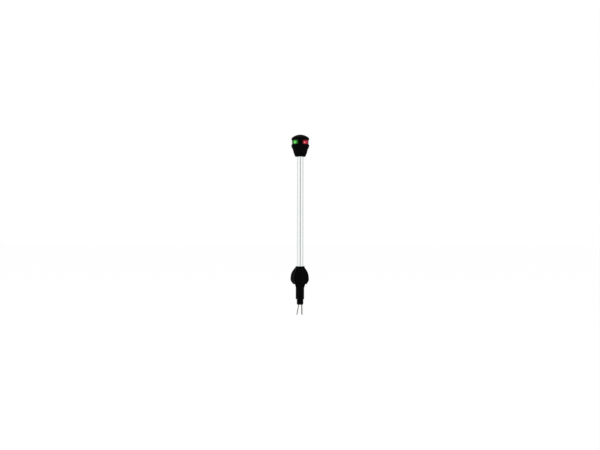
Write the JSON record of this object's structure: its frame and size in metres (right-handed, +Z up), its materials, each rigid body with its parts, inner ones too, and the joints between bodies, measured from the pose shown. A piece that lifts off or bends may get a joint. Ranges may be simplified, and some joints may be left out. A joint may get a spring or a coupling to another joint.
{
  "type": "navigation light",
  "caption": "Plug-in bow navigation light: green and red windows in a black head on a metal pole, with a sliding twist-lock collar and a pronged plug.",
  "frame": {"origin": "on the pole's axis at the top of the plug stem, where the stem meets the tapered seal", "axes": "+Z up the pole, dead ahead is -Y, the starboard (green) side is -X and the port (red) side is +X"},
  "size_m": [0.0369, 0.0373, 0.3549],
  "materials": {
    "black_housing": "fine moulded texture",
    "black_gloss": "smooth moulded",
    "green_lens": "clear green polycarbonate",
    "red_lens": "clear red polycarbonate",
    "clear_lens": "clear ridged polycarbonate",
    "white_plastic": "white moulded",
    "pole_aluminium": "bright anodised",
    "steel": "stainless",
    "rubber": "matt black",
    "nickel": "nickel plated brass",
    "circuit_board": "green solder mask",
    "white_board": "white solder mask",
    "led": "clear dome over phosphor",
    "component": "moulded black",
    "capacitor": "sleeved can",
    "red_wire": "PVC insulation",
    "black_wire": "PVC insulation",
    "nylon": "natural nylon"
  },
  "bodies": {
    "light": {"head_cap": "black_housing", "cap_screws": "steel", "upper_lens_gasket": "rubber", "lower_lens_gasket": "rubber", "starboard_lens": "green_lens", "port_lens": "red_lens", "light_shield": "black_housing", "starboard_reflector": "white_plastic", "port_reflector": "white_plastic", "starboard_led_board": "white_board", "port_led_board": "white_board", "starboard_led": "led", "port_led": "led", "starboard_diffuser": "clear_lens", "port_diffuser": "clear_lens", "head_housing": "black_housing", "main_board": "circuit_board", "header_pins": "nickel", "driver_inductor": "component", "driver_capacitor": "capacitor", "driver_rectifier": "component", "driver_resistors": "component", "wire_grommet": "rubber", "socket_seal": "rubber", "neck_screw": "steel", "pole_tube": "pole_aluminium", "starboard_wire": "black_wire", "port_wire": "red_wire", "plug_body": "black_gloss", "plug_screw": "steel", "base_seal": "rubber", "pin_carrier": "black_gloss", "starboard_prong": "nickel", "port_prong": "nickel", "joint_sleeves": "black_wire"},
    "bushing": {"collar_bushing": "nylon"},
    "collar": {"locking_collar": "black_housing", "bushing_clip": "steel"}
  },
  "joints": [
    {"name": "collar_lift", "type": "slide", "parent": "light", "child": "bushing", "axis": [0, 0, 1], "range_m": [0, 0.215]},
    {"name": "collar_turn", "type": "hinge", "parent": "bushing", "child": "collar", "pos_m": [0, 0, 0.024], "axis": [0, 0, 1], "continuous": true}
  ]
}
